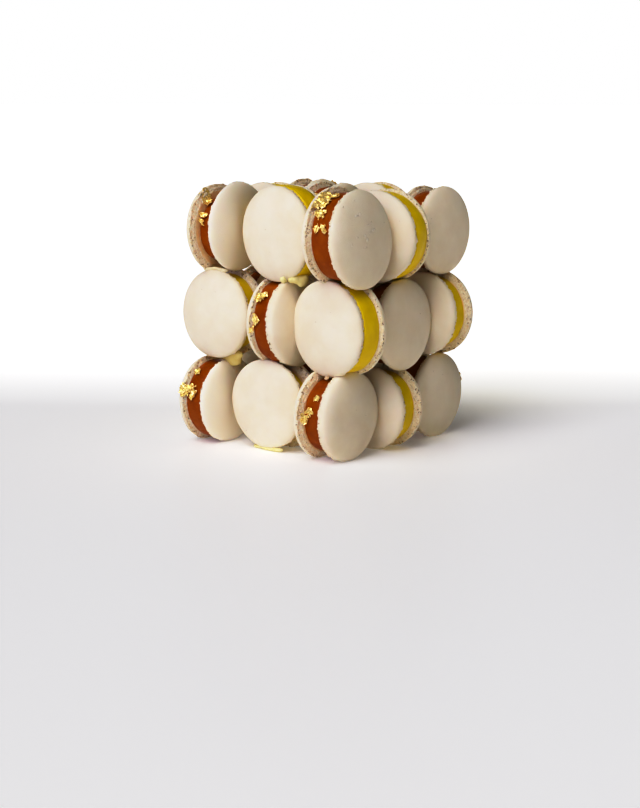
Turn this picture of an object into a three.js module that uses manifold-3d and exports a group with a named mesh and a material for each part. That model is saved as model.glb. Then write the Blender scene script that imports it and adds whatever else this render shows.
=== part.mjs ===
// Macaron cake: three layers of nine macarons stand on edge in a block. Caramel and lemon
// macarons take turns like the squares of a chequerboard, so domed shells and open rims
// alternate on every side. Dabs of cream hold the macarons together.
// Millimetres, +Z up, front towards -Y. The origin is on the ground under the middle.
import * as THREE from "three";
import { mergeVertices } from "three/addons/utils/BufferGeometryUtils.js";
import Module from "manifold-3d";

const wasm = await Module();
wasm.setup();

// The block
const LAYERS = ["bottom", "middle", "top"];
const ROWS = ["front", "mid", "back"];
const COLUMNS = ["left", "centre", "right"];
const PITCH = 39; // middle of one macaron to the next within a layer
const LAYER_PITCH = 43; // middle of one layer to the next
const FIRST_LAYER = 22.3; // height of the middle of the bottom layer
const FLAT_SPOT = 0.6; // how far the rims under the block are pressed flat
const CLEAR = 0.3; // space kept between neighbours
const SMALLEST_EDGE = 0.1; // finer slivers left by a cut are cleaned away
const SAME_POINT = 1e-4; // corners closer than this are one corner

// One macaron
const DIAMETER = 45; // usual diameter at the edge of the domes
const FILLING = 8.5; // thickness of the filling
const FOOT = 3.2; // height of a shell's side, from its ruffled foot to its widest round
const DOME = 5.3; // rise of a shell's dome above its widest round
const DOME_POWER = 2.15; // 2 makes the dome's section an ellipse, more squares its shoulder
const DOME_STEPS = 3; // rings from the widest round to the top of the dome
const FOOT_INSET = 0.8; // foot's edge, in from the widest round
const RUFFLE = 0.35; // unevenness of the foot's edge
const OVAL = 0.01; // how far a macaron is out of round
const SEGMENTS = 18;
const RECESS = { caramel: 3.2, lemon: 1.4 }; // filling's usual edge, in from the widest round

// Looks
const SHELL = { color: 0xe9dfca, roughness: 0.75, metalness: 0 };
const CREAM = { color: 0xe6dc9c, roughness: 0.5, metalness: 0 };

// Macarons with a place of their own: across, away and up from the even grid in mm, turn
// about the vertical and lean of the axis in degrees, and diameter in mm.
const PLACED = {
  bottom_front_left: [-1, 0, 0, 0, 0, 43.5],
  bottom_front_centre: [-1.5, 0, 0, -1, 0, 45.5],
  bottom_front_right: [-1.5, 0, 0, 0, 0, 44.5],
  bottom_mid_right: [-1.5, -4, 0, 0, 0, 42.5],
  bottom_back_right: [-1.5, -2, 0, 0, 0, 44],
  middle_front_left: [3, 0, 0.7, -3, 0, 45.5],
  middle_front_centre: [3.2, 3.5, -0.3, 0, 0, 45],
  middle_front_right: [0, 0, -0.8, -8, 0, 47],
  middle_mid_right: [1, 2, -3, 0, 0, 46.5],
  middle_back_right: [0, -1, -0.9, -2, 0, 44],
  top_front_left: [4.5, 2, 0.5, 0, 0, 45],
  top_front_centre: [5.5, 0, 0.4, -6, 0, 46.5],
  top_front_right: [5, 0, 0.4, 0, 0, 47.5],
  top_mid_right: [-1, -3, -2, 8, 0, 46],
  top_back_right: [0, 0, -1.3, 0, 0, 45.5],
  top_mid_left: [3, 0, 0, -2, 0, 45],
  top_mid_centre: [4, 0, 0.7, 0, 0, 45.5],
  top_back_centre: [0, 3, -1, 3, 0, 45.5],
};
// The others are drawn: the usual values and the most that each is off, in the same order.
const USUAL = [0, 0, 0, 0, 0, DIAMETER];
const SPREAD = [1.2, 1.2, 0, 4, 4, 0.8];

// Fillings that are set back by their own amount, in mm
const SET_BACK = {
  bottom_front_left: 2,
  bottom_front_centre: 4.5,
  bottom_front_right: 4.6,
  bottom_mid_right: 2.6,
  middle_front_left: 2.6,
  middle_front_centre: 2.4,
  middle_front_right: 1,
  middle_back_right: 3.6,
  top_front_left: 4.5,
};

// Gold leaf on the caramel rims at the front: turn down from the top in degrees, place
// across the rim in mm, length and width in mm. The back repeats it turned half round.
const GOLD = {
  bottom_front_left: [[71, -5.8, 9, 5], [61, -1, 6, 4], [40, -2.5, 4, 2.5]],
  bottom_front_right: [[57, 0, 4, 3], [83, -3, 7, 4]],
  middle_front_centre: [[50, -1.5, 8, 4], [80, -3.2, 4, 3], [95, -3.6, 4, 2.5]],
  top_front_left: [[17, -3, 8, 4], [34, -1, 4, 3], [75, 1.5, 3.5, 2], [86, 0.2, 3, 2]],
  top_front_right: [[37, -5.6, 8, 4], [22, -3, 7, 4], [59, -2.6, 4, 2.5], [80, -2, 3, 2], [77, 1.8, 3, 2]],
  top_mid_centre: [[8, -4, 7, 4], [17, 3, 5, 3]],
};
const LEAF_THICKNESS = 2.2; // half of it sunk in the filling
const LEAF_CRUMPLE = 0.25; // share of its size by which a leaf is crumpled

// Dabs of cream, each in lobes that run together: place of the middle, and length, depth and
// height. Each dab is there at the front and again at the back, turned half round.
const DABS = {
  top_centre: [
    [[9.5, -47, 88], [7, 7, 5]],
    [[12, -42.5, 88], [8, 9, 6]],
    [[14.5, -37.5, 86.5], [8, 8, 9]],
  ],
  top_corner: [
    [[-40.5, -46.5, 89], [8, 7, 4]],
    [[-34.5, -47, 89.8], [9, 7, 4]],
    [[-29, -46.5, 89], [7, 7, 4]],
  ],
  middle_centre: [
    [[-23, -44.5, 47], [6, 7, 6]],
    [[-25, -41, 43.5], [7, 8, 8]],
    [[-27, -37.5, 39], [6, 7, 7]],
  ],
  middle_corner: [
    [[38.7, -49.5, 41], [5, 5, 5]],
  ],
  base: [
    [[-8, -47.5, 0.8], [8, 6, 4]],
    [[-2, -48.5, 1], [10, 7, 4.4]],
    [[4, -48.5, 1], [9, 7, 4]],
  ],
};
const DAB_LUMPS = 0.16; // unevenness of a dab

// Seeded draws between -1 and 1, with a seed step for each thing that is drawn
const DRAW_FACTOR = 16807;
const DRAW_COUNT = 2147483647;
const PLACE_SEED = 7919;
const GOLD_SEED = 104729;
const DAB_SEED = 15485863;

function draws(seed) {
  let state = seed;
  return () => {
    state = (state * DRAW_FACTOR) % DRAW_COUNT;
    return (state / DRAW_COUNT) * 2 - 1;
  };
}

// The same surface with each corner held once
function welded(geometry) {
  geometry.deleteAttribute("normal");
  geometry.deleteAttribute("uv");
  return mergeVertices(geometry, SAME_POINT);
}

function solidOf(geometry) {
  const merged = welded(geometry);
  const corners = merged.index.array;
  const triangles = [];
  for (let n = 0; n < corners.length; n += 3) {
    const [a, b, c] = corners.slice(n, n + 3);
    if (a !== b && b !== c && c !== a) {
      triangles.push(a, b, c);
    }
  }
  const vertProperties = merged.attributes.position.array;
  const triVerts = Uint32Array.from(triangles);
  return new wasm.Manifold(new wasm.Mesh({ numProp: 3, vertProperties, triVerts }));
}

function geometryOf(solid) {
  const { vertProperties, triVerts } = solid.simplify(SMALLEST_EDGE).getMesh();
  const geometry = new THREE.BufferGeometry();
  geometry.setAttribute("position", new THREE.BufferAttribute(vertProperties, 3));
  geometry.setIndex(new THREE.BufferAttribute(triVerts, 1));
  geometry.computeVertexNormals();
  return geometry;
}

// Outline of one shell and its half of the filling, from the filling's edge to the top of
// the dome, as distance from the axis and from the middle plane.
function shellOutline(radius, recess, grow) {
  const base = FILLING / 2;
  const edge = base + FOOT;
  const outline = [
    [radius - recess + grow, base - grow],
    [radius - FOOT_INSET + grow, base - grow],
  ];
  for (let step = 0; step < DOME_STEPS; step += 1) {
    const angle = (step / DOME_STEPS) * (Math.PI / 2);
    const out = Math.cos(angle) ** (2 / DOME_POWER);
    const up = Math.sin(angle) ** (2 / DOME_POWER);
    outline.push([(radius + grow) * out, edge + (DOME + grow) * up]);
  }
  outline.push([0, edge + DOME + grow]);
  return outline;
}

// One macaron about its own Y axis: two shells with ruffled feet and the filling between.
function macaronGeometry({ diameter, recess, seed }, grow) {
  const upper = shellOutline(diameter / 2, recess, grow);
  const lower = upper.map(([out, up]) => [out, -up]).reverse();
  const points = [...lower, ...upper].map(([out, up]) => new THREE.Vector2(out, up));
  const geometry = new THREE.LatheGeometry(points, SEGMENTS);
  const draw = draws(seed);
  const phase = draw() * Math.PI;
  const ruffles = Array.from({ length: SEGMENTS }, () => [draw() * RUFFLE, draw() * RUFFLE]);
  const place = geometry.attributes.position;
  for (let n = 0; n < place.count; n += 1) {
    const segment = Math.floor(n / points.length) % SEGMENTS;
    const ring = n % points.length;
    const angle = (segment / SEGMENTS) * 2 * Math.PI;
    const side = ring < lower.length ? 0 : 1;
    const fromFilling = side ? ring - lower.length : lower.length - 1 - ring;
    const radius = points[ring].x;
    const ruffle = fromFilling === 1 ? ruffles[segment][side] : 0;
    const out = radius * (1 + OVAL * Math.cos(2 * angle + phase)) + ruffle;
    place.setXYZ(n, out * Math.sin(angle), points[ring].y, out * Math.cos(angle));
  }
  return geometry;
}

// A ball of diameter 1 with its corners drawn in and out
function lumpyBall(lumps, draw) {
  const geometry = welded(new THREE.IcosahedronGeometry(0.5));
  const place = geometry.attributes.position;
  const corner = new THREE.Vector3();
  for (let n = 0; n < place.count; n += 1) {
    corner.fromBufferAttribute(place, n).multiplyScalar(1 + lumps * draw());
    place.setXYZ(n, corner.x, corner.y, corner.z);
  }
  return geometry;
}

// One crumpled gold leaf lying on a rim of the given radius.
function leafGeometry([turn, across, length, width], radius, draw) {
  const geometry = lumpyBall(LEAF_CRUMPLE, draw);
  geometry.scale(length, width, LEAF_THICKNESS);
  geometry.rotateZ(draw() * Math.PI);
  geometry.translate(0, across, radius);
  geometry.rotateY(THREE.MathUtils.degToRad(turn));
  return geometry;
}

// Radius of the surface that a leaf lies on at a place across the rim.
function rimRadius({ diameter, recess }, across) {
  const onFoot = Math.abs(across) > FILLING / 2;
  return diameter / 2 - (onFoot ? FOOT_INSET : recess);
}

function halfRound(key) {
  const [layer, row, column] = key.split("_");
  const opposite = (list, word) => list[list.length - 1 - list.indexOf(word)];
  return `${layer}_${opposite(ROWS, row)}_${opposite(COLUMNS, column)}`;
}

function goldOf(key) {
  if (GOLD[key]) return GOLD[key];
  const turned = GOLD[halfRound(key)] ?? [];
  return turned.map(([turn, across, length, width]) => [-turn, -across, length, width]);
}

// Place, size and flavour of every macaron
function planMacarons() {
  const plans = [];
  LAYERS.forEach((layer, k) => ROWS.forEach((row, j) => COLUMNS.forEach((column, i) => {
    const key = `${layer}_${row}_${column}`;
    const seed = 1 + i + 3 * j + 9 * k;
    const draw = draws(seed * PLACE_SEED);
    const drawn = SPREAD.map((most, n) => USUAL[n] + most * draw());
    const [across, away, up, turn, lean, diameter] = PLACED[key] ?? drawn;
    const flavour = (i + j + k) % 2 === 0 ? "caramel" : "lemon";
    const recess = SET_BACK[key] ?? RECESS[flavour];
    const level = k === 0 ? diameter / 2 - FLAT_SPOT : FIRST_LAYER + k * LAYER_PITCH;
    const placer = new THREE.Object3D();
    placer.position.set((i - 1) * PITCH + across, (j - 1) * PITCH + away, level + up);
    placer.rotation.order = "ZXY";
    const heading = (flavour === "caramel" ? -90 : 0) + turn;
    placer.rotation.set(THREE.MathUtils.degToRad(lean), 0, THREE.MathUtils.degToRad(heading));
    placer.updateMatrix();
    plans.push({ key, layer, seed, flavour, diameter, recess, placer });
  })));
  return plans;
}

function worldSolid(plan, grow = 0) {
  return solidOf(macaronGeometry(plan, grow).applyMatrix4(plan.placer.matrix));
}

// The space that a macaron takes: its outer form without the groove of its filling.
function spaceOf(plan) {
  return worldSolid({ ...plan, recess: FOOT_INSET }, CLEAR);
}

function isNear(plan, point, reach) {
  return plan.placer.position.distanceTo(point) < plan.diameter / 2 + reach;
}

function groundSolid() {
  const wide = 2 * COLUMNS.length * PITCH;
  return solidOf(new THREE.BoxGeometry(wide, wide, PITCH).translate(0, 0, -PITCH / 2));
}

// A macaron in place with its gold leaf on it, pressed in by the macarons set on and beside
// it later, and flat where it meets the ground.
function macaronSolid(plan, plans) {
  let solid = worldSolid(plan);
  const draw = draws(plan.seed * GOLD_SEED);
  for (const leaf of goldOf(plan.key)) {
    const geometry = leafGeometry(leaf, rimRadius(plan, leaf[1]), draw);
    solid = solid.add(solidOf(geometry.applyMatrix4(plan.placer.matrix)));
  }
  const later = plans.slice(plans.indexOf(plan) + 1);
  for (const other of later.filter((one) => isNear(one, plan.placer.position, plan.diameter / 2))) {
    solid = solid.subtract(spaceOf(other));
  }
  return solid.subtract(groundSolid());
}

// A dab of cream about a place: its lumpy lobes together, cut back to clear the macarons.
function dabSolid(lobes, placer, plans, seed) {
  const draw = draws(seed * DAB_SEED);
  const middle = placer.position;
  let solid = null;
  for (const [offset, sizes] of lobes) {
    const geometry = lumpyBall(DAB_LUMPS, draw).scale(...sizes).translate(...offset);
    const lobe = solidOf(geometry.applyMatrix4(placer.matrix));
    solid = solid ? solid.add(lobe) : lobe;
  }
  for (const plan of plans.filter((one) => isNear(one, middle, PITCH / 2))) {
    solid = solid.subtract(spaceOf(plan));
  }
  const pieces = solid.subtract(groundSolid()).decompose();
  return pieces.sort((a, b) => b.volume() - a.volume())[0];
}

function addMesh(group, name, solid, placer, look) {
  const geometry = geometryOf(solid).applyMatrix4(placer.matrix.clone().invert());
  const mesh = new THREE.Mesh(geometry, new THREE.MeshStandardMaterial(look));
  mesh.name = name;
  mesh.position.copy(placer.position);
  mesh.rotation.copy(placer.rotation);
  group.add(mesh);
}

const cake = new THREE.Group();
const plans = planMacarons();
for (const layer of LAYERS) {
  const group = new THREE.Group();
  for (const plan of plans.filter((one) => one.layer === layer)) {
    addMesh(group, `${plan.flavour}_macaron_${plan.key}`, macaronSolid(plan, plans), plan.placer, SHELL);
  }
  cake.add(group);
}

const dabs = new THREE.Group();
Object.entries(DABS).forEach(([name, lobes], n) => {
  const middle = new THREE.Vector3(...lobes[Math.floor(lobes.length / 2)][0]);
  const offsets = lobes.map(([place, sizes]) => [new THREE.Vector3(...place).sub(middle), sizes]);
  for (const [side, turn] of [["front", 0], ["back", Math.PI]]) {
    const placer = new THREE.Object3D();
    placer.position.copy(middle).applyAxisAngle(new THREE.Vector3(0, 0, 1), turn);
    placer.rotation.z = turn;
    placer.updateMatrix();
    addMesh(dabs, `cream_${name}_${side}`, dabSolid(offsets, placer, plans, n + 1), placer, CREAM);
  }
});
cake.add(dabs);

// The block stands with the middle of its outline over the origin.
cake.updateMatrixWorld(true);
const box = new THREE.Box3().setFromObject(cake, true);
const middle = box.getCenter(new THREE.Vector3());
cake.position.set(-middle.x, -middle.y, -box.min.z);

export default cake;
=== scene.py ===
# Looks of the macaron cake: matte almond shells with crumbly feet, glossy caramel and satin lemon
# fillings, crumpled gold leaf and dabs of cream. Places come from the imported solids.
# Sizes are in millimetres until a mesh is made, which is in metres.
import math

import bpy
import numpy as np
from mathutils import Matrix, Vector, noise
from mathutils.geometry import delaunay_2d_cdt


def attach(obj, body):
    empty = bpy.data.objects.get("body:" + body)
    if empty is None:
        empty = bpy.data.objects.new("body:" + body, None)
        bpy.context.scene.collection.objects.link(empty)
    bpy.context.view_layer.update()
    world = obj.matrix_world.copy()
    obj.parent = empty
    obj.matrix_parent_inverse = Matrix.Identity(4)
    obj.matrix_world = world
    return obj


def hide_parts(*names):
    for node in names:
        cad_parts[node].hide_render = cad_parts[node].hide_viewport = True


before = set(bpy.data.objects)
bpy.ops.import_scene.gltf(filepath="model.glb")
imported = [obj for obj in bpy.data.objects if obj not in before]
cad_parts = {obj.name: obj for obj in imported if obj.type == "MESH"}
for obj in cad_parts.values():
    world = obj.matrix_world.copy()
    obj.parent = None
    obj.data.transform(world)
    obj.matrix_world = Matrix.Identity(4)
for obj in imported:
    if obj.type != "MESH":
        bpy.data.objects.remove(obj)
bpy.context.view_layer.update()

MM = 0.001
SCREEN_GAMMA = 2.2


def screen(red, green, blue):
    """A colour given as it shows on a screen, from 0 to 255."""
    return tuple((part / 255) ** SCREEN_GAMMA for part in (red, green, blue)) + (1.0,)


# One macaron
THICKNESS = 25.5
SEAM = 8.7  # between the feet of its two shells
FOOT = 1.5  # height of a shell's crumbly foot
FOOT_DEPTH = 2.4  # foot's lower edge, in from the crease above it
FOOT_CURVE = 1.5  # above 1 the foot rises slowly at its lower edge and steeply by the crease
CREASE_INSET = 0.4  # crease between foot and side, in from the widest round
SIDE = 1.15  # height of the smooth side, from the crease to the widest round
WIDEST = SEAM / 2 + FOOT + SIDE  # widest round, from the middle plane
DOME = THICKNESS / 2 - WIDEST  # rise of the dome above the widest round
DOME_POWER = 2.0  # 2 makes the dome's section an ellipse, more squares its shoulder
# Rings of a shell's underside: in from the widest round, and how far it swells past the foot
UNDER_RINGS = ((12.0, 0.5), (8.5, 0.5), (6.2, 0.5), (4.6, 0.35), (3.4, 0.15))
UNDER_SWELL = 0.5  # in its middle
OVAL = 0.009  # how far a shell is out of round
EGG = 0.006  # how far a shell is egg-shaped
DOME_FAN = 18  # triangles that meet at the top of a solid's dome
# Shells that sit askew: moved towards the rim's face, up and outwards in mm, and leaned back in degrees
SHELL_MOVES = {
    "bottom_front_centre_front": (0, 1.4, 0, 0),
    "bottom_front_right_left": (0, 0, 2.5, 0),
    "bottom_mid_right_front": (-1.4, 0, 0, 0),
    "middle_front_left_front": (1.0, 0.1, 0, 0),
    "middle_front_right_front": (-1.9, 0, 0, 0),
    "middle_back_right_front": (-1.0, 0, 0, 0),
    "top_front_left_right": (0, 1.4, 0, 0),
    "top_front_right_left": (0, 0, 2.2, 0),
    "top_front_right_right": (0, -1.2, 0, 5),
    "top_mid_right_front": (-1.4, 0, 0, 0),
}
# Shells whose foot is further from the middle plane than others, or nearer
FOOT_SHIFTS = {
    "bottom_front_left_right": 0.7,
    "bottom_front_right_right": -1.4,
    "middle_front_centre_right": -1.5,
    "top_front_left_right": 1.2,
}
# Shells in the crevices at the left, painted lighter than the rest: painted light for the light that
# comes through them and bounces into the crevices
PAINTED_LIGHT_SHELLS = ("bottom_front_left_right", "top_front_left_right")
SOLID_WIDEST = 7.45  # a solid's widest round, from the middle plane
SAME_HEIGHT = 0.05  # corners this close to the widest round lie on it

# Fineness of the meshes
PLAIN_TURNS = 90  # segments round a dome
FINE = 4  # foot segments to one of the dome
FINE_TURNS = PLAIN_TURNS * FINE
FOOT_RINGS = 10
SIDE_TURNS = (8, 17, 27, 40, 60)  # rings of the side, in degrees round from the crease
DOME_RINGS = 15
FILLING_TURNS = 160
FILLING_RINGS = 11
LUMP_BANDS = 5  # bands of faces on a small ball, from end to end
LUMP_TURNS = 8

# Crumbly feet: size in mm and number of cells round the rim and up the foot
FRILLS = ((0.14, 24, 1), (0.3, 58, 4), (0.34, 140, 7))
FRILL_LIFT = 0.5  # share of the frills that also moves the foot along the axis
CRUMBS = ((70, 0.75), (150, 0.45))  # rows of crumbs along the crease: number and size
CRUMB_WIDTHS = (0.4, 1.6)  # beside each other
CRUMB_SIZES = (0.05, 1.0)
CRUMB_SWELL = 0.42  # how far the largest crumb stands out
CRUMB_DROP = 0.55  # how far it hangs over the foot
CRUMB_BAND = 0.55  # how far from the crease the crumbs reach
FOOT_EDGE = 1.2  # how far past the crease the rough foot reaches
CREASE_PORES = 84
CREASE_PORE_SIZES = (0.2, 0.48)
CREASE_PORE_PLACE = (0.0, 0.5)  # middle and spread from the crease, up the side
FOOT_PORES = 44
FOOT_PORE_SIZES = (0.16, 0.34)
FOOT_PORE_BAND = (-0.95, -0.2)  # reach from the crease, as shares of the foot's slant
PORE_DEPTHS = (0.25, 0.6)
PORE_STRETCHES = (0.5, 1.3)

# Slow unevenness of a dome: size in mm and number of cells round and up it
DOME_SWELLS = ((0.22, 5, 2),)
DOME_SWELL_FADE = 4  # the more, the closer to the rim it fades
DOME_SWELL_START = 3  # it is full from one part in so many of the way out

# Small marks on the domes: specks that each shell has, and blisters on one shell, given towards
# its rim's face and up from its middle, with their size
SPECKS = 3
SPECK_SIZES = (0.18, 0.34)
SPECK_SPREAD = 0.7  # share of the dome's round that specks lie in
SPECK_DARKNESS = 0.35  # beside a pore's
MARK_STRETCHES = (0.7, 1.5)
BLISTERED = "caramel_macaron_top_front_right_right_shell"
BLISTERS = (
    (15, 19, 0.7), (7.5, 19, 0.6), (15, 16.5, 0.6), (8, 12, 1.0), (5.5, 12.5, 0.8), (-1.5, 8.5, 0.9),
    (1.5, 7.5, 0.8), (-3, 5, 1.2), (4, 2.5, 0.9), (9.5, 2, 0.8), (2.5, 0.5, 1.1), (13.5, -1, 0.7),
    (4, -3, 0.9), (0, 4, 0.8),
)
BLISTER_RISE = 0.36  # height of a blister as a share of its size

# Fillings: edge in from the widest round, bulge between the shells, and unevenness
RECESS = {"caramel": 3.2, "lemon": 1.4}
SET_BACK = {
    "bottom_front_left": 2.2,
    "bottom_front_centre": 4.5,
    "bottom_front_right": 4.3,
    "bottom_mid_right": 3.4,
    "middle_front_left": 2.8,
    "middle_front_centre": 1.6,
    "middle_front_right": 1.9,
    "middle_back_right": 3.6,
    "top_front_left": 6.3,
    "top_front_centre": 0.2,
}
BULGE = {"caramel": 0.7, "lemon": 0.5}
WAVES = {"caramel": ((0.5, 7, 1), (0.3, 19, 2)), "lemon": ((0.3, 9, 1), (0.15, 31, 3))}
SUNK = 0.8  # how far a filling reaches into the shells
FILLING_SEED = 1000

# A bead of caramel pressed out by the right foot: turn down from the top in degrees, place along
# the axis and size
SPILL_AT = "top_front_left"
SPILL = (109, 6.1, 1.6)

# Gold leaf on the caramel rims at the front: turn down from the top in degrees, place across
# the rim in mm, length and width in mm. The back repeats it turned half round.
GOLD = {
    "bottom_front_left": ((72, -5.6, 6, 6), (69, -2.4, 7, 5), (76, 0.6, 6, 3.5), (41, -2.2, 4, 4)),
    "bottom_front_right": ((56, -0.6, 4, 4), (79, -2.8, 5.6, 4), (87, -4.2, 5.6, 3.6)),
    "middle_front_centre": ((54, -2.2, 5, 7.5), (83, -2.4, 6, 4), (96, -4.4, 5, 3)),
    "top_front_left": ((28, -4.8, 5, 4), (40, -3.4, 5, 5), (64, -2, 4, 5), (76, -2.2, 5, 3)),
    "top_front_right": (
        (48, -6.6, 7, 4), (36, -4, 10, 5.5), (24, -1.6, 6, 4),
        (57, -2.2, 6, 5), (77, -3.2, 5, 3), (76, 1.2, 6, 3),
    ),
    "top_mid_centre": ((42, -1, 7, 5),),
}
BACK_GOLD_FROM = 30  # the back's gold lies at least this far down from the top
GOLD_SEED = 2000
LEAF_SEEDS = (0, 100)
LEAF_USUAL = 6  # usual size of a leaf in mm
LEAF_SLANT = 0.7  # how far a leaf may be turned on the rim, in radians
LEAF_FACET = 0.8  # usual width of a foil's facets
LEAF_JITTER = 0.42  # how far the facets' corners stray, as a share of that width
LEAF_LONGEST = 2.1  # longest side of a facet, as a share of that width
LEAF_MERGE = 1e-5  # corners this close are one
LEAF_GAUGE = 0.08  # thickness of the foil
LEAF_LIFT = 0.3  # foil above what it lies on
LEAF_CREASES = 0.95  # height of the folds of a leaf of the usual size
LEAF_FOLD_SIZE = 2.2  # from one fold to the next
LEAF_FOLDS = ((1.0, 0.0, 1.9, 0.65), (2.3, 7.7, 2.4, 0.35))  # fineness, seed, sharpness and share
LEAF_CRUMPLE = 0.2  # unevenness of the folds
LEAF_TEAR = 0.8  # how ragged its outline is
LEAF_TEAR_FINENESS = 0.7
LEAF_TEAR_SEED = 31.0
LEAF_SHEETS = ((1.1, 0.0), (0.7, 0.4))  # size and lift of the sheets of one leaf
DRAPE_START = 3.2  # where a leaf starts to rise from the filling to the crease

# Dabs of cream
DAB_WELD = 0.02  # corners this close are one
DAB_VOXEL = 0.7
DAB_SOFTENING = 100  # rounds of softening
DAB_SOFTEN_STEP = 0.5  # how far each of them goes
DAB_SWELL = 1.4  # makes up for what the softening takes off
DAB_RIPPLE = 0.3
DAB_RIPPLE_SIZE = 4.0
# How each dab at the front is moved and stretched, to the right, to the back and up, and its share
# of the swell. The back's dabs are turned half round.
DAB_FITS = {
    "top_centre": ((2.6, -3.2, 0.2), (0.75, 1.0, 0.9), 1.0),
    "top_corner": ((0.0, 1.2, 0.0), (1.0, 1.0, 1.0), 0.45),
    "middle_centre": ((-4.2, 1.6, -1.0), (2.2, 0.6, 1.15), 0.5),
    "middle_corner": ((0.0, 0.0, 0.0), (1.0, 1.0, 1.0), 0.35),
    "base": ((0.4, 3.0, 0.0), (1.15, 1.0, 0.85), 0.4),
}

# Looks: colours, sizes in mm of the noise that they change with, and what changes with it
NOISE_SPAN = (0.3, 0.7)  # what noise mostly lies between
NARROW_SPAN = (0.35, 0.65)
DOME_TINTS = (screen(237, 222, 194), screen(243, 230, 204))
DOME_MOTTLE = 14.0
# Lighter colour of the crevice shells: painted light for the light that comes through them and bounces
# into the crevices
PAINTED_LIGHT_TINT = screen(255, 240, 216)
FOOT_TINTS = (screen(228, 202, 158), screen(246, 234, 206))
FOOT_MOTTLE = (0.9, 4.0, 0.65)  # size, detail and roughness of the noise
BAKED_TINTS = (screen(234, 196, 138), screen(246, 218, 168))  # of a shell's underside
BAKED_MOTTLE = 3.0
# Pores are painted darker: painted shade in their hollows. The dark specks on the domes take the same
# colour as their own.
PORE_SHADE_AND_SPECK_TINT = screen(128, 94, 52)
PORE_EDGE = (0.15, 0.8)
PORE_DARKNESS = 0.85
SHELL_ROUGHNESS = (0.62, 0.78)
SHELL_GRAIN = (0.5, 4.0, 0.6)
FOOT_GRAIN = (0.8, 5.0, 0.7)
FOOT_RELIEF = 4.0  # foot's grain beside the dome's
SHELL_RELIEF = (0.12, 0.5)  # depth and strength
SHELL_SHEEN = 0.25
SHELL_GLOW = 3.0  # how far light spreads inside a shell
SHELL_GLOW_SHARE = 0.3
SHELL_GLOW_TINT = (1.0, 0.7, 0.45)
CARAMEL_TINTS = (screen(147, 76, 2), screen(167, 94, 4))
# Lighter streaks on the caramel: painted sheen, a painted highlight of its gloss
SHEEN_STREAK_TINT = screen(190, 106, 10)  # of the caramel
STREAK_SIZE = 2.2
STREAK_SPAN = (0.55, 0.75)
STREAK_SHARE = 0.35
CARAMEL_SHEEN = {"Coat_Weight": 0.2, "Coat_Roughness": 0.28, "Specular_IOR_Level": 0.03}
LEMON_TINTS = ((0.80, 0.58, 0.0, 1.0), (0.88, 0.66, 0.0, 1.0))
LEMON_SHEEN = {"Specular_IOR_Level": 0.18}
GOLD_TINTS = ((1.0, 0.70, 0.18, 1.0), (1.0, 0.80, 0.36, 1.0))
GOLD_SHEEN = {"Metallic": 0.45}
CREAM_TINTS = (screen(242, 226, 150), screen(250, 240, 184))
CREAM_SHEEN = {"Specular_IOR_Level": 0.3}
# Dabs that are another colour than the rest: a film and a bead of cream painted darker, as painted
# shade where they sit in gaps, and icing
SHADED_FILM_TINTS = (screen(236, 214, 130), screen(244, 226, 154))
SHADED_BEAD_TINTS = (screen(212, 178, 136), screen(222, 190, 150))
ICING_TINTS = (screen(236, 220, 174), screen(246, 234, 196))
FLOOR_TINTS = (screen(252, 249, 245), screen(253, 251, 247))
FLOOR_MOTTLE = 400.0
FLOOR_GLOW_TINT = (1.0, 0.99, 0.97, 1.0)
FLOOR_SHEEN = {"Roughness": 0.5, "Specular_IOR_Level": 0.3}
# Size of the colours' noise, roughness and the size of its noise, and the relief's size, detail,
# depth and strength
CARAMEL_FINISH = (9.0, (0.22, 0.4), 5.0, (2.5, 2.0, 0.2, 0.5))
LEMON_FINISH = (7.0, (0.36, 0.52), 3.0, (1.6, 3.0, 0.15, 0.4))
CREAM_FINISH = (5.0, (0.36, 0.52), 2.0, (1.8, 2.0, 0.12, 0.4))
GOLD_FINISH = (1.6, (0.18, 0.34), 0.8, (0.7, 2.0, 0.1, 0.35))
MIX_COLOURS = (6, 7)  # a Mix node's sockets for two colours
MIX_RESULT = 2

# Camera and light
CAMERA_PLACE = (0.5023, -0.6494, 0.173)
CAMERA_DROP = 10.77  # degrees below level
CAMERA_TURN = 37.94  # degrees round from the front towards the right
CAMERA_LENS = 71.3
FLOOR_REACH = 40.0
FLOOR_GAP = 0.0002
FLOOR_WHITE_BEHIND = (0.08, 0.24)  # where the floor behind the cake starts to glow and is white, in m
FLOOR_WHITE_FAR = (0.12, 2.4)  # the same all round
FLOOR_GLOWS = (0.12, 0.62)  # of the floor by the cake and of the white floor, beside the light on it
ROOM = (0.01, 0.008, 0.006, 1.0)
BACKDROP = (1.0, 1.0, 1.0, 1.0)
BACKDROP_WAY = (-0.61, 0.79, 0.06)  # from the cake towards the middle of the backdrop
BACKDROP_EDGES = (0.94, 0.975)  # where it starts and is full, by the cosine from its middle
HORIZON_BAND = 0.11  # height of the bright horizon, as a share of the sky's
# Soft lights: degrees round from the front towards the right, above level and across, power and colour
LIGHTS = {
    "upper": (0.0, 60.0, 42.0, 1.51, (1.02, 1.02, 0.96)),
    "front": (4.0, 30.0, 36.0, 0.765, (0.92, 0.98, 1.56)),
    "side": (20.0, 10.0, 30.0, 0.12, (1.05, 1.03, 0.85)),
}
TONES = ((0.1, 0.042), (0.3, 0.215), (0.5, 0.485), (0.7, 0.76), (0.85, 0.885))  # light and how it shows
EVERY_CHANNEL = 3  # a tone curve for all three colours

ROWS = ("front", "mid", "back")
COLUMNS = ("left", "centre", "right")


# Unevenness

def soft_step(share):
    return share * share * (3 - 2 * share)


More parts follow.
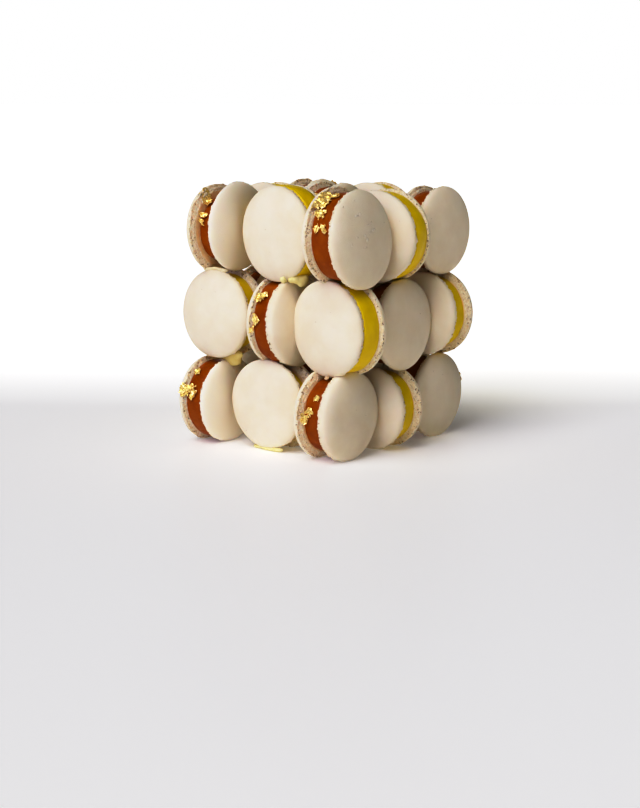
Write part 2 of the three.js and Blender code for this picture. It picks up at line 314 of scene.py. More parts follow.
def band_noise(rng, turn, share, around, along):
    """Smooth seeded unevenness from -1 to 1 on a band that closes on itself."""
    draws = rng.uniform(-1, 1, (around, along + 2))
    x = (turn % 1.0) * around
    y = np.clip(share, 0, 1) * along
    i = np.floor(x).astype(int)
    j = np.floor(y).astype(int)
    u = soft_step(x - i)
    v = soft_step(y - j)
    left = draws[i % around, j] * (1 - v) + draws[i % around, j + 1] * v
    right = draws[(i + 1) % around, j] * (1 - v) + draws[(i + 1) % around, j + 1] * v
    return left * (1 - u) + right * u


def layered_noise(rng, turn, share, scales):
    return sum(size * band_noise(rng, turn, share, around, along) for size, around, along in scales)


def crumbs(rng, turn, number):
    """Round bumps of uneven width side by side, from 0 between two of them to 1 on the largest."""
    widths = rng.uniform(*CRUMB_WIDTHS, number)
    edges = np.concatenate(((0.0,), np.cumsum(widths) / widths.sum()))
    at = np.clip(np.searchsorted(edges, turn % 1.0, side="right") - 1, 0, number - 1)
    across = (turn % 1.0 - edges[at]) / (edges[at + 1] - edges[at]) * 2 - 1
    return rng.uniform(*CRUMB_SIZES, number)[at] * np.sqrt(np.clip(1 - across * across, 0, 1))


# Meshes

def add_piece(name, places, faces, material, node, smooth=True, marks=None):
    """A mesh piece from places in metres, which rides on the cake and stands for a node."""
    mesh = bpy.data.meshes.new(name)
    mesh.from_pydata(np.asarray(places).tolist(), [], faces)
    mesh.polygons.foreach_set("use_smooth", [smooth] * len(mesh.polygons))
    for mark, values in (marks or {}).items():
        layer = mesh.attributes.new(mark, "FLOAT", "POINT")
        layer.data.foreach_set("value", np.asarray(values, dtype=np.float32))
    mesh.materials.append(material)
    mesh.update()
    piece = bpy.data.objects.new(name, mesh)
    bpy.context.scene.collection.objects.link(piece)
    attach(piece, "root")
    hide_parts(node)


def zone_faces(first, rings, turns):
    """Quads between rings of a turned body that have the same number of segments."""
    faces = []
    for ring in range(rings - 1):
        low = first + ring * turns
        high = low + turns
        for turn in range(turns):
            after = (turn + 1) % turns
            faces.append((low + turn, low + after, high + after, high + turn))
    return faces


def bridge_faces(plain, fine, up):
    """Faces between a ring of plain segments and a finer one, which is up from it or down."""
    faces = []
    for turn in range(PLAIN_TURNS):
        after = (turn + 1) % PLAIN_TURNS
        many = [fine + (turn * FINE + step) % FINE_TURNS for step in range(FINE + 1)]
        if up:
            faces.append((plain + turn, plain + after, *reversed(many)))
        else:
            faces.append((*many, plain + after, plain + turn))
    return faces


def fan_faces(end, ring, turns, up):
    """Triangles from a ring to the place on the axis that closes it."""
    pairs = [(ring + turn, ring + (turn + 1) % turns) for turn in range(turns)]
    return [(end, a, b) if up else (end, b, a) for a, b in pairs]


def lump_faces(first):
    """Faces of one small ball whose rings come first and whose two ends come last."""
    rings = LUMP_BANDS - 1
    ends = first + rings * LUMP_TURNS
    faces = zone_faces(first, rings, LUMP_TURNS)
    faces += fan_faces(ends, first, LUMP_TURNS, up=False)
    faces += fan_faces(ends + 1, first + (rings - 1) * LUMP_TURNS, LUMP_TURNS, up=True)
    return faces


def lump_places():
    """Places of a small ball of radius 1."""
    angle = np.linspace(-math.pi / 2, math.pi / 2, LUMP_BANDS + 1)[1:-1]
    turn = np.arange(LUMP_TURNS) / LUMP_TURNS * 2 * math.pi
    wide = np.cos(angle)
    rings = [
        np.multiply.outer(wide, np.cos(turn)).ravel(),
        np.multiply.outer(wide, np.sin(turn)).ravel(),
        np.repeat(np.sin(angle), LUMP_TURNS),
    ]
    return np.vstack((np.array(rings).T, ((0, 0, -1), (0, 0, 1))))


# Macarons

class Macaron:
    """Place and size of a macaron, read from its solid."""

    def __init__(self, node, number):
        words = node.split("_")
        self.node = node
        self.flavour = words[0]
        self.key = "_".join(words[2:])
        self.number = number
        self.recess = SET_BACK.get(self.key, RECESS[self.flavour])
        top, along, spots = dome_top(node)
        self.middle = top - along * THICKNESS / 2
        across = np.array((1.0, 0, 0) if self.flavour == "caramel" else (0, 1.0, 0))
        self.axis = along * np.sign(along @ across)
        up = np.array((0, 0, 1.0)) - self.axis * self.axis[2]
        self.up = up / np.linalg.norm(up)
        self.face = np.cross(self.axis, self.up)
        self.radius = edge_radius(spots - self.middle, self.axis)

    def shell_name(self, side):
        names = ("left", "right") if self.flavour == "caramel" else ("front", "back")
        return names[side > 0]

    def foot_start(self, side):
        """Distance of a shell's foot from the middle plane, before the shell is moved."""
        return SEAM / 2 + FOOT_SHIFTS.get(f"{self.key}_{self.shell_name(side)}", 0.0)

    def filling_end(self, side):
        """Where the filling ends inside a shell, along the axis."""
        outward = self.moves(side)[2]
        return side * (self.foot_start(side) + outward + SUNK)

    def moves(self, side):
        still = (0, 0, 0, 0)
        return SHELL_MOVES.get(f"{self.key}_{self.shell_name(side)}", still) if side else still

    def world(self, turn, out, along, side=0):
        """Places in metres from turns down from the top, and mm from the axis and the middle. With
        a side they are on that shell, which may sit askew."""
        aside, lift, outward, lean = self.moves(side)
        angle = turn * 2 * math.pi
        upward = out * np.cos(angle)
        leaned = outward - math.tan(math.radians(lean)) * upward
        places = (
            self.middle
            + np.multiply.outer(out * np.sin(angle) + aside, self.face)
            + np.multiply.outer(upward + lift, self.up)
            + np.multiply.outer(along + side * leaned, self.axis)
        )
        places[..., 2] = np.maximum(places[..., 2], 0)
        return places * MM

    def dome_height(self, out):
        """Distance of a dome from the middle plane, at distances from the axis."""
        share = np.clip(out / self.radius, 0, 1)
        return WIDEST + DOME * (1 - share ** DOME_POWER) ** (1 / DOME_POWER)

    def rim_radius(self, along):
        """Distance from the axis of what a leaf lies on, at places along the axis."""
        reach = np.abs(along)
        filling = self.radius - self.recess + BULGE[self.flavour]
        rim = np.interp(
            reach,
            (DRAPE_START, SEAM / 2 + FOOT, WIDEST),
            (filling, self.radius - CREASE_INSET, self.radius),
        )
        over = np.clip((reach - WIDEST) / DOME, 0, 1)
        return rim - self.radius + self.radius * (1 - over ** DOME_POWER) ** (1 / DOME_POWER)


def dome_top(node):
    """The top of a dome that no neighbour dents, the way it faces, and all the solid's corners."""
    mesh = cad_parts[node].data
    places = np.array([vertex.co for vertex in mesh.vertices]) / MM
    triangles = np.array([face.vertices for face in mesh.polygons])
    spots, number = np.unique(np.round(places, 3), axis=0, return_inverse=True)
    triangles = number.reshape(-1)[triangles]
    fans = []
    for top in np.flatnonzero(np.bincount(triangles.ravel()) == DOME_FAN):
        ring = np.setdiff1d(triangles[(triangles == top).any(axis=1)], top)
        spans = np.linalg.norm(spots[ring] - spots[top], axis=1)
        fans.append((spans.std() / spans.mean(), spots[top], spots[ring].mean(axis=0)))
    _, top, ring_middle = min(fans, key=lambda fan: fan[0])
    along = top - ring_middle
    return top, along / np.linalg.norm(along), spots


def edge_radius(spots, axis):
    """Radius of the widest round, from the corners that lie on it."""
    along = spots @ axis
    out = np.linalg.norm(spots - np.outer(along, axis), axis=1)
    return float(np.median(out[np.abs(np.abs(along) - SOLID_WIDEST) < SAME_HEIGHT]))


# Shells

def under_rings(radius, start):
    """Rings of a shell's underside: distances from the axis and from the middle plane."""
    return [(radius - inset, start - swell) for inset, swell in UNDER_RINGS]


def side_rings(radius, start):
    """Rings up a shell's foot and side: distances from the axis and the middle plane, and from the
    crease, which are less than 0 on the foot."""
    crease = start + FOOT
    slant = math.hypot(FOOT, FOOT_DEPTH)
    rings = []
    for step in range(FOOT_RINGS):
        share = step / (FOOT_RINGS - 1)
        inset = CREASE_INSET + FOOT_DEPTH * (1 - share)
        rings.append((radius - inset, start + FOOT * share ** FOOT_CURVE, slant * (share - 1)))
    for degrees in SIDE_TURNS:
        angle = math.radians(degrees)
        rise = (WIDEST - crease) * (1 - math.cos(angle))
        inset = CREASE_INSET * (1 - math.sin(angle))
        rings.append((radius - inset, crease + rise, math.hypot(rise, CREASE_INSET - inset)))
    return rings


def dome_rings(radius):
    rings = []
    for step in range(DOME_RINGS):
        angle = step / DOME_RINGS * math.pi / 2
        out = radius * math.cos(angle) ** (2 / DOME_POWER)
        rings.append((out, WIDEST + DOME * math.sin(angle) ** (2 / DOME_POWER)))
    return rings


def pores(rng, turn, rise, radius):
    """Depth in mm of the pores in a foot, and how far each place is inside one, from 0 to 1."""
    slant = math.hypot(FOOT, FOOT_DEPTH)
    lowest, highest = FOOT_PORE_BAND
    depth = np.zeros_like(turn)
    inside = np.zeros_like(turn)
    for number in range(CREASE_PORES + FOOT_PORES):
        at_turn = rng.uniform()
        if number < CREASE_PORES:
            at_rise = rng.normal(*CREASE_PORE_PLACE)
            size = rng.uniform(*CREASE_PORE_SIZES)
        else:
            at_rise = rng.uniform(lowest * slant, highest * slant)
            size = rng.uniform(*FOOT_PORE_SIZES)
        deep = rng.uniform(*PORE_DEPTHS)
        stretch = rng.uniform(*PORE_STRETCHES)
        aside = ((turn - at_turn + 0.5) % 1.0 - 0.5) * 2 * math.pi * radius * stretch
        away = np.hypot(aside, rise - at_rise) / size
        hollow = np.clip(1 - away * away, 0, 1)
        depth = np.maximum(depth, deep * hollow)
        inside = np.maximum(inside, hollow)
    return depth, inside


def grid(rings, turns):
    """Values of rings spread round a number of turns, as flat lists."""
    turn = np.tile(np.arange(turns) / turns, len(rings))
    return turn, *(np.repeat(values, turns) for values in np.array(rings).T)


def shell_marks(rng, macaron, side, name):
    """Places of the small lumps on a dome: specks, and blisters on the shell that has them."""
    spots = []
    for _ in range(SPECKS):
        out = macaron.radius * math.sqrt(rng.uniform(0, SPECK_SPREAD))
        angle = rng.uniform(0, 2 * math.pi)
        spots.append((out * math.sin(angle), out * math.cos(angle), rng.uniform(*SPECK_SIZES), 1.0))
    if name == BLISTERED:
        spots += [(aside, up, size, 0.0) for aside, up, size in BLISTERS]
    ball = lump_places()
    groups = []
    for aside, up, size, dark in spots:
        out = math.hypot(aside, up)
        stretch = rng.uniform(*MARK_STRETCHES)
        across = aside + ball[:, 0] * size * stretch
        upward = up + ball[:, 1] * size / stretch
        height = macaron.dome_height(out) + ball[:, 2] * size * BLISTER_RISE
        turn = np.arctan2(across, upward) / (2 * math.pi)
        groups.append((macaron.world(turn, np.hypot(across, upward), side * height, side), dark))
    return groups


def shell_faces(starts):
    """Faces of a shell, from the numbers that its underside, flank, dome and two ends start at."""
    under, flank, dome, ends = starts
    faces = zone_faces(under, len(UNDER_RINGS), PLAIN_TURNS)
    faces += bridge_faces(flank - PLAIN_TURNS, flank, up=True)
    faces += zone_faces(flank, (dome - flank) // FINE_TURNS, FINE_TURNS)
    faces += bridge_faces(dome, dome - FINE_TURNS, up=False)
    faces += zone_faces(dome, DOME_RINGS, PLAIN_TURNS)
    faces += fan_faces(ends, under, PLAIN_TURNS, up=False)
    faces += fan_faces(ends + 1, ends - PLAIN_TURNS, PLAIN_TURNS, up=True)
    return faces


def add_shell(macaron, side, material):
    """One almond shell: underside, crumbly foot, smooth dome and its small marks."""
    rng = np.random.default_rng(macaron.number * 2 + (side > 0))
    name = f"{macaron.node}_{macaron.shell_name(side)}_shell"
    radius = macaron.radius
    start = macaron.foot_start(side)
    oval_turn, egg_turn = rng.uniform(size=2)

    def uneven_round(turn):
        oval = OVAL * np.cos(4 * math.pi * (turn + oval_turn))
        return 1 + oval + EGG * np.cos(6 * math.pi * (turn + egg_turn))

    turn, out, height = grid(under_rings(radius, start), PLAIN_TURNS)
    under = macaron.world(turn, out, side * height, side)

    turn, out, height, rise = grid(side_rings(radius, start), FINE_TURNS)
    depth, inside = pores(rng, turn, rise, radius)
    foot = np.clip(1 - rise / FOOT_EDGE, 0, 1)
    rows = sum(size * crumbs(rng, turn, number) for number, size in CRUMBS)
    lip = np.exp(-(rise / CRUMB_BAND) ** 2) * rows
    share = 1 + rise / math.hypot(FOOT, FOOT_DEPTH)
    frill = layered_noise(rng, turn, share, FRILLS)
    out = out + foot * frill + CRUMB_SWELL * lip - depth
    height = height - CRUMB_DROP * lip + FRILL_LIFT * foot * np.clip(share, 0, 1) * frill
    flank = macaron.world(turn, out * uneven_round(turn), side * height, side)

    turn, out, height = grid(dome_rings(radius), PLAIN_TURNS)
    swell = layered_noise(rng, turn, out / radius, DOME_SWELLS)
    inner = np.clip(out / radius * DOME_SWELL_START, 0, 1)
    height = height + swell * (1 - (out / radius) ** DOME_SWELL_FADE) * inner
    dome = macaron.world(turn, out * uneven_round(turn), side * height, side)

    ends = np.array((start - UNDER_SWELL, THICKNESS / 2)) * side
    parts = [under, flank, dome, macaron.world(np.zeros(2), np.zeros(2), ends, side)]
    starts = np.cumsum([0] + [len(part) for part in parts]).tolist()
    faces = shell_faces(starts[:-1])
    foot_mark = np.zeros(starts[-1])
    foot_mark[starts[1]:starts[2]] = foot
    under_mark = np.zeros(starts[-1])
    under_mark[:starts[1]] = 1.0
    under_mark[starts[3]] = 1.0
    # Painted shade in the pores, and the specks' own darker colour
    pore_shade_and_speck_mark = np.zeros(starts[-1])
    pore_shade_and_speck_mark[starts[1]:starts[2]] = inside
    for places, dark in shell_marks(rng, macaron, side, name):
        faces += lump_faces(sum(len(part) for part in parts))
        parts.append(places)
        foot_mark = np.append(foot_mark, np.zeros(len(places)))
        under_mark = np.append(under_mark, np.zeros(len(places)))
        pore_shade_and_speck_mark = np.append(pore_shade_and_speck_mark, np.full(len(places), SPECK_DARKNESS * dark))
    if side > 0:
        faces = [face[::-1] for face in faces]
    # The crevice shells get the lighter colour: painted light
    painted_light = f"{macaron.key}_{macaron.shell_name(side)}" in PAINTED_LIGHT_SHELLS
    painted_light_mark = np.full(len(foot_mark), float(painted_light))
    marks = {"foot": foot_mark, "under": under_mark, "pore": pore_shade_and_speck_mark, "painted_light": painted_light_mark}
    add_piece(name, np.vstack(parts), faces, material, macaron.node, marks=marks)


# Fillings

def add_filling(macaron, material):
    """The filling between the shells, set back and wavy."""
    rng = np.random.default_rng(FILLING_SEED + macaron.number)
    first = macaron.filling_end(-1)
    last = macaron.filling_end(1)
    share = np.linspace(0, 1, FILLING_RINGS)
    turn, share = np.meshgrid(np.arange(FILLING_TURNS) / FILLING_TURNS, share)
    along = first + (last - first) * share
    bulge = BULGE[macaron.flavour] * (1 - (2 * share - 1) ** 2)
    waves = layered_noise(rng, turn, share, WAVES[macaron.flavour])
    out = macaron.radius - macaron.recess + bulge + waves
    places = [
        macaron.world(turn.ravel(), out.ravel(), along.ravel()),
        macaron.world(np.zeros(2), np.zeros(2), np.array((first, last))),
    ]
    ends = FILLING_RINGS * FILLING_TURNS
    faces = zone_faces(0, FILLING_RINGS, FILLING_TURNS)
    faces += fan_faces(ends, 0, FILLING_TURNS, up=False)
    faces += fan_faces(ends + 1, ends - FILLING_TURNS, FILLING_TURNS, up=True)
    if macaron.key == SPILL_AT:
        faces += lump_faces(ends + 2)
        places.append(spill_places(macaron))
    faces = [face[::-1] for face in faces]
    name = f"{macaron.node}_filling"
    add_piece(name, np.vstack(places), faces, material, macaron.node)


def spill_places(macaron):
    down, along, size = SPILL
    ball = lump_places() * size / 2
    out = macaron.radius - CREASE_INSET + ball[:, 2]
    turn = down / 360 + ball[:, 0] / (2 * math.pi * macaron.radius)
    return macaron.world(turn, out, along - ball[:, 1], side=1)


# Gold leaf

def half_round(key):
    layer, row, column = key.split("_")
    return f"{layer}_{ROWS[2 - ROWS.index(row)]}_{COLUMNS[2 - COLUMNS.index(column)]}"


def gold_of(key):
    if key in GOLD:
        return GOLD[key]
    return [
        (-turn, -across, length, width)
        for turn, across, length, width in GOLD.get(half_round(key), ())
        if turn > BACK_GOLD_FROM
    ]


def fold_height(x, y, seed):
    """Height of sharp folds, from 0 to 1."""
    height = 0.0
    for fineness, shift, sharpness, share in LEAF_FOLDS:
        wave = noise.noise(Vector((fineness * x, fineness * y, seed + shift)))
        height += max(0.0, 1 - sharpness * abs(wave)) * share
    return height


def torn_facets(rng, length, width, seed):
    """Corners and triangles of a flat scrap of foil with a ragged outline, in mm."""
    spots = []
    for x in np.arange(-length / 2, length / 2 + LEAF_FACET, LEAF_FACET):
        for y in np.arange(-width / 2, width / 2 + LEAF_FACET, LEAF_FACET):
            place = Vector((x, y)) + Vector(rng.uniform(-LEAF_JITTER, LEAF_JITTER, 2)) * LEAF_FACET
            reach = math.hypot(2 * place.x / length, 2 * place.y / width)
            spot = (place.x * LEAF_TEAR_FINENESS, place.y * LEAF_TEAR_FINENESS, seed + LEAF_TEAR_SEED)
            if reach < 1 + LEAF_TEAR * noise.noise(Vector(spot)):
                spots.append(place)
    corners, _, triangles, *_ = delaunay_2d_cdt(spots, [], [], 0, LEAF_MERGE)
    longest = LEAF_LONGEST * LEAF_FACET
    kept = []
    for a, b, c in triangles:
        sides = [(corners[p] - corners[q]).length for p, q in ((a, b), (b, c), (c, a))]
        if max(sides) < longest:
            kept.append((a, b, c))
    return np.array([tuple(corner) for corner in corners]), kept


def sheet_faces(triangles, count):
    """Faces of a thin sheet: below, above and round its outline."""
    directed = {(a, b) for face in triangles for a, b in zip(face, face[1:] + face[:1])}
    faces = [face[::-1] for face in triangles]
    faces += [tuple(corner + count for corner in face) for face in triangles]
    faces += [(a, b, b + count, a + count) for a, b in directed if (b, a) not in directed]
    return faces


def leaf_mesh(macaron, leaf, rng):
    """Places and faces of one crumpled leaf that lies on a rim, in a few sheets of foil."""
    turn, across, length, width = leaf
    slant = rng.uniform(-LEAF_SLANT, LEAF_SLANT)
    places = []
    faces = []
    count = 0
    for scale, lift in LEAF_SHEETS:
        seed = rng.uniform(*LEAF_SEEDS)
        corners, triangles = torn_facets(rng, length * scale, width * scale, seed)
        folds = np.array([fold_height(*corner, seed) for corner in corners / LEAF_FOLD_SIZE])
        folds = folds + rng.uniform(-LEAF_CRUMPLE, LEAF_CRUMPLE, len(folds))
        round_rim = corners[:, 0] * math.cos(slant) - corners[:, 1] * math.sin(slant)
        along = across + corners[:, 0] * math.sin(slant) + corners[:, 1] * math.cos(slant)
        ground = macaron.rim_radius(along)
        size = math.sqrt(length * width) / LEAF_USUAL
        out = ground + LEAF_LIFT + lift + LEAF_CREASES * size * np.maximum(folds, 0)
        turns = turn / 360 + round_rim / macaron.radius / (2 * math.pi)
        for gauge in (0, LEAF_GAUGE):
            places.append(macaron.world(turns, out + gauge, along))
        sheet = sheet_faces(triangles, len(corners))
        faces += [tuple(corner + count for corner in face) for face in sheet]
        count += 2 * len(corners)
    return np.vstack(places), faces


def add_gold(macaron, material):
    rng = np.random.default_rng(GOLD_SEED + macaron.number)
    places = []
    faces = []
    count = 0
    for leaf in gold_of(macaron.key):
        leaf_places, leaf_faces = leaf_mesh(macaron, leaf, rng)
        used = sorted({corner for face in leaf_faces for corner in face})
        renumber = {old: count + new for new, old in enumerate(used)}
        places.append(leaf_places[used])
        faces += [tuple(renumber[corner] for corner in face) for face in leaf_faces]
        count += len(used)
    if faces:
        name = f"{macaron.node}_gold"
        add_piece(name, np.vstack(places), faces, material, macaron.node, smooth=False)


# Cream

def dab_place(node):
    """The place in a dab's name, between the first word and the side that it is on."""
    return "_".join(node.split("_")[1:-1])


def add_dab(node, material):
    """A dab of cream: its solid rounded off, rippled and fitted to what it comes out of."""
    shift, stretch, fullness = DAB_FITS[dab_place(node)]
    way = 1 if node.endswith("front") else -1
    shift = Vector((shift[0] * way, shift[1] * way, shift[2])) * MM
    rough = bpy.data.objects.new(f"{node}_rough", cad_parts[node].data.copy())
    bpy.context.scene.collection.objects.link(rough)
    weld = rough.modifiers.new("weld", "WELD")
    weld.merge_threshold = DAB_WELD * MM
    remesh = rough.modifiers.new("remesh", "REMESH")
    remesh.mode = "VOXEL"
    remesh.voxel_size = DAB_VOXEL * MM
    soften = rough.modifiers.new("soften", "SMOOTH")
    soften.iterations = DAB_SOFTENING
    soften.factor = DAB_SOFTEN_STEP
    graph = bpy.context.evaluated_depsgraph_get()
    made = bpy.data.meshes.new_from_object(rough.evaluated_get(graph))
    middle = sum((corner.co for corner in made.vertices), Vector()) / len(made.vertices)
    places = []
    for corner in made.vertices:
        ripple = noise.noise(corner.co / (DAB_RIPPLE_SIZE * MM)) * DAB_RIPPLE
        place = corner.co + corner.normal * (DAB_SWELL * fullness + ripple) * MM
        place = middle + (place - middle) * Vector(stretch) + shift
        places.append((place.x, place.y, max(place.z, 0.0)))
    faces = [tuple(face.vertices) for face in made.polygons]
    bpy.data.objects.remove(rough)
    bpy.data.meshes.remove(made)
    add_piece(f"{node}_soft", places, faces, material, node)


# Materials

class Look:
    """A material whose nodes are added one by one to a Principled shader."""

    def __init__(self, name):
        self.material = bpy.data.materials.new(name)
        self.material.use_nodes = True
        self.tree = self.material.node_tree
        self.shader = self.tree.nodes["Principled BSDF"]
        self.place = self.tree.nodes.new("ShaderNodeTexCoord").outputs["Object"]

    def set(self, **values):
        for name, value in values.items():
            self.shader.inputs[name.replace("_", " ")].default_value = value

    def link(self, output, socket):
        self.tree.links.new(output, self.shader.inputs[socket])

    def paint(self, colour):
        """Makes a node's output the colour of the look, and keeps it for what goes over it."""
        self.colour = colour
        self.link(colour, "Base Color")

    def noise(self, size, detail=3.0, roughness=0.55):
        """Noise with features of a size in mm."""
        node = self.tree.nodes.new("ShaderNodeTexNoise")
        node.inputs["Scale"].default_value = 1 / (size * MM)
        node.inputs["Detail"].default_value = detail
        node.inputs["Roughness"].default_value = roughness
        self.tree.links.new(self.place, node.inputs["Vector"])
        return node.outputs["Fac"]

    def mark(self, name):
        node = self.tree.nodes.new("ShaderNodeAttribute")
        node.attribute_name = name
        return node.outputs["Fac"]

    def ramp(self, value, low, high, start=0.0, end=1.0):
        """A value from low to high becomes one from start to end."""
        node = self.tree.nodes.new("ShaderNodeMapRange")
        self.tree.links.new(value, node.inputs["Value"])
        node.inputs["From Min"].default_value = low
        node.inputs["From Max"].default_value = high
        node.inputs["To Min"].default_value = start
        node.inputs["To Max"].default_value = end
        return node.outputs["Result"]

    def maths(self, kind, first, second):
        node = self.tree.nodes.new("ShaderNodeMath")
        node.operation = kind
        for socket, output in zip(node.inputs, (first, second)):
            self.tree.links.new(output, socket)
        return node.outputs["Value"]

    def vector_maths(self, kind, other=(0, 0, 0)):
        """A number worked out from the place and another vector."""
        node = self.tree.nodes.new("ShaderNodeVectorMath")
        node.operation = kind
        self.tree.links.new(self.place, node.inputs[0])
        node.inputs[1].default_value = other
        return node.outputs["Value"]

    def blend(self, share, first, second):
        """A colour between two, each a colour or the output of another node."""
        node = self.tree.nodes.new("ShaderNodeMix")
        node.data_type = "RGBA"
        self.tree.links.new(share, node.inputs["Factor"])
        for number, value in zip(MIX_COLOURS, (first, second)):
            socket = node.inputs[number]
            if isinstance(value, tuple):
                socket.default_value = value
            else:
                self.tree.links.new(value, socket)
        return node.outputs[MIX_RESULT]

    def wander(self, size, low=0.0, high=1.0):
        """A value that changes from low to high with noise of a size in mm."""
        return self.ramp(self.noise(size), *NOISE_SPAN, low, high)

    def bump(self, height, depth, strength):
        """Relief of a depth in mm."""
        node = self.tree.nodes.new("ShaderNodeBump")
        node.inputs["Strength"].default_value = strength
        node.inputs["Distance"].default_value = depth * MM
        self.tree.links.new(height, node.inputs["Height"])
        self.link(node.outputs["Normal"], "Normal")


def shell_look():
    look = Look("almond_shell")
    mottle = look.ramp(look.noise(DOME_MOTTLE), *NARROW_SPAN)
    dome = look.blend(mottle, *DOME_TINTS)
    # The crevice shells are painted lighter: painted light
    dome = look.blend(look.mark("painted_light"), dome, PAINTED_LIGHT_TINT)
    crumb = look.ramp(look.noise(*FOOT_MOTTLE), *NARROW_SPAN)
    foot = look.blend(crumb, *FOOT_TINTS)
    baked = look.blend(look.wander(BAKED_MOTTLE), *BAKED_TINTS)
    colour = look.blend(look.mark("foot"), dome, foot)
    colour = look.blend(look.mark("under"), colour, baked)
    # Darker in the pores, as painted shade, and on the specks, as their own colour
    hollow = look.ramp(look.mark("pore"), *PORE_EDGE, 0.0, PORE_DARKNESS)
    look.paint(look.blend(hollow, colour, PORE_SHADE_AND_SPECK_TINT))
    look.link(look.ramp(mottle, 0.0, 1.0, *SHELL_ROUGHNESS), "Roughness")
    on_foot = look.ramp(look.mark("foot"), 0.0, 1.0, 0.0, FOOT_RELIEF)
    rough = look.maths("MULTIPLY", look.noise(*FOOT_GRAIN), on_foot)
    look.bump(look.maths("ADD", look.noise(*SHELL_GRAIN), rough), *SHELL_RELIEF)
    look.set(Specular_IOR_Level=SHELL_SHEEN, Subsurface_Weight=SHELL_GLOW_SHARE)
    look.set(Subsurface_Scale=SHELL_GLOW * MM, Subsurface_Radius=SHELL_GLOW_TINT)
    return look.material


def plain_look(name, tints, finish, sheen):
    """A look of two colours with a little relief."""
    look = Look(name)
    mottle, roughness, roughness_size, (relief_size, detail, depth, strength) = finish
    look.paint(look.blend(look.wander(mottle), *tints))
    look.link(look.wander(roughness_size, *roughness), "Roughness")
    look.bump(look.noise(relief_size, detail), depth, strength)
    look.set(**sheen)
    return look


def caramel_look():
    look = plain_look("caramel", CARAMEL_TINTS, CARAMEL_FINISH, CARAMEL_SHEEN)
    # Lighter streaks: painted sheen
    sheen_streak = look.ramp(look.noise(STREAK_SIZE), *STREAK_SPAN, 0.0, STREAK_SHARE)
    look.paint(look.blend(sheen_streak, look.colour, SHEEN_STREAK_TINT))
    return look.material


def lemon_look():
    return plain_look("lemon", LEMON_TINTS, LEMON_FINISH, LEMON_SHEEN).material


def cream_look(name, tints):
    return plain_look(name, tints, CREAM_FINISH, CREAM_SHEEN).material


def gold_look():
    return plain_look("gold_leaf", GOLD_TINTS, GOLD_FINISH, GOLD_SHEEN).material


def floor_look():
    """Pale satin that fades to white behind the cake and far away."""
    look = Look("floor")
    look.paint(look.blend(look.wander(FLOOR_MOTTLE), *FLOOR_TINTS))
    away = look.ramp(look.vector_maths("LENGTH"), *FLOOR_WHITE_FAR)
    behind = look.ramp(look.vector_maths("DOT_PRODUCT", BACKDROP_WAY), *FLOOR_WHITE_BEHIND)
    white = look.maths("MAXIMUM", behind, away)
    look.link(look.ramp(white, 0.0, 1.0, *FLOOR_GLOWS), "Emission Strength")
    look.set(Emission_Color=FLOOR_GLOW_TINT, **FLOOR_SHEEN)
    return look.material


# Studio

def add_floor():
    reach = FLOOR_REACH
    mesh = bpy.data.meshes.new("floor")
    corners = [(-reach, -reach), (reach, -reach), (reach, reach), (-reach, reach)]
    mesh.from_pydata([(x, y, -FLOOR_GAP) for x, y in corners], [], [(0, 1, 2, 3)])
    mesh.materials.append(floor_look())
    floor = bpy.data.objects.new("floor", mesh)
    bpy.context.scene.collection.objects.link(floor)


def add_camera():
    data = bpy.data.cameras.new("camera")
    data.lens = CAMERA_LENS
    data.clip_end = 2 * FLOOR_REACH
    camera = bpy.data.objects.new("camera", data)
    camera.location = CAMERA_PLACE
    camera.rotation_euler = (math.radians(90 - CAMERA_DROP), 0, math.radians(CAMERA_TURN))
    bpy.context.scene.collection.objects.link(camera)
    bpy.context.scene.camera = camera


def add_far_light(name, turn, rise, spread, power, colour):
    """Soft light from far away: round from the front, above level and across, in degrees."""
    data = bpy.data.lights.new(name, "SUN")
    data.angle = math.radians(spread)
    data.energy = power
    data.color = colour
    light = bpy.data.objects.new(name, data)
    light.rotation_euler = (math.radians(90 - rise), 0, math.radians(turn))
    bpy.context.scene.collection.objects.link(light)


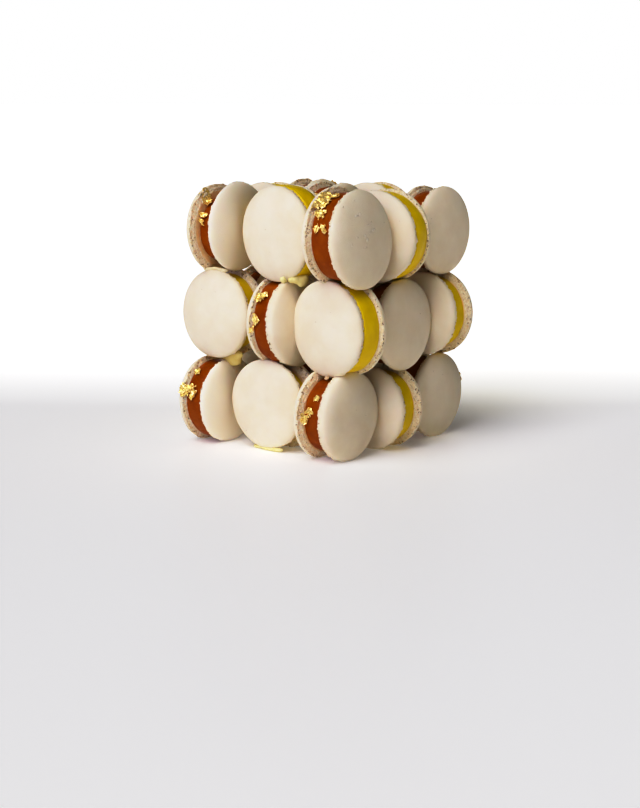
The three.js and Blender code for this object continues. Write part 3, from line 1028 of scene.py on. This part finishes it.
def add_world():
    """A dim warm room with a bright backdrop, and a bright horizon that the floor runs out into."""
    world = bpy.data.worlds.new("studio")
    world.use_nodes = True
    tree = world.node_tree
    way = tree.nodes.new("ShaderNodeTexCoord").outputs["Generated"]

    def fade(value, start, end):
        node = tree.nodes.new("ShaderNodeMapRange")
        node.interpolation_type = "SMOOTHSTEP"
        tree.links.new(value, node.inputs["Value"])
        node.inputs["From Min"].default_value = start
        node.inputs["From Max"].default_value = end
        return node.outputs["Result"]

    parts = tree.nodes.new("ShaderNodeSeparateXYZ")
    tree.links.new(way, parts.inputs["Vector"])
    facing = tree.nodes.new("ShaderNodeVectorMath")
    facing.operation = "DOT_PRODUCT"
    tree.links.new(way, facing.inputs[0])
    facing.inputs[1].default_value = Vector(BACKDROP_WAY).normalized()
    either = tree.nodes.new("ShaderNodeMath")
    either.operation = "MAXIMUM"
    tree.links.new(fade(parts.outputs["Z"], HORIZON_BAND, 0.0), either.inputs[0])
    tree.links.new(fade(facing.outputs["Value"], *BACKDROP_EDGES), either.inputs[1])
    colour = tree.nodes.new("ShaderNodeMix")
    colour.data_type = "RGBA"
    tree.links.new(either.outputs["Value"], colour.inputs["Factor"])
    for number, value in zip(MIX_COLOURS, (ROOM, BACKDROP)):
        colour.inputs[number].default_value = value
    tree.links.new(colour.outputs[MIX_RESULT], tree.nodes["Background"].inputs["Color"])
    bpy.context.scene.world = world


def set_tones():
    """Deeper shade and softer highlights, as a camera gives."""
    settings = bpy.context.scene.view_settings
    settings.view_transform = "Standard"
    settings.use_curve_mapping = True
    every_channel = settings.curve_mapping.curves[EVERY_CHANNEL]
    for light, shown in TONES:
        every_channel.points.new(light, shown)
    settings.curve_mapping.update()


def build_cake():
    shell = shell_look()
    fillings = {"caramel": caramel_look(), "lemon": lemon_look()}
    gold = gold_look()
    cream = cream_look("cream", CREAM_TINTS)
    # The film and the bead get darker cream: painted shade
    other_creams = {
        "middle_centre": cream_look("shaded_film", SHADED_FILM_TINTS),
        "middle_corner": cream_look("shaded_bead", SHADED_BEAD_TINTS),
        "top_corner": cream_look("icing", ICING_TINTS),
    }
    for number, node in enumerate(sorted(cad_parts)):
        if "_macaron_" not in node:
            add_dab(node, other_creams.get(dab_place(node), cream))
            continue
        macaron = Macaron(node, number)
        for side in (-1, 1):
            add_shell(macaron, side, shell)
        add_filling(macaron, fillings[macaron.flavour])
        if macaron.flavour == "caramel":
            add_gold(macaron, gold)


add_camera()
add_world()
for light_name, values in LIGHTS.items():
    add_far_light(light_name, *values)
add_floor()
build_cake()
set_tones()
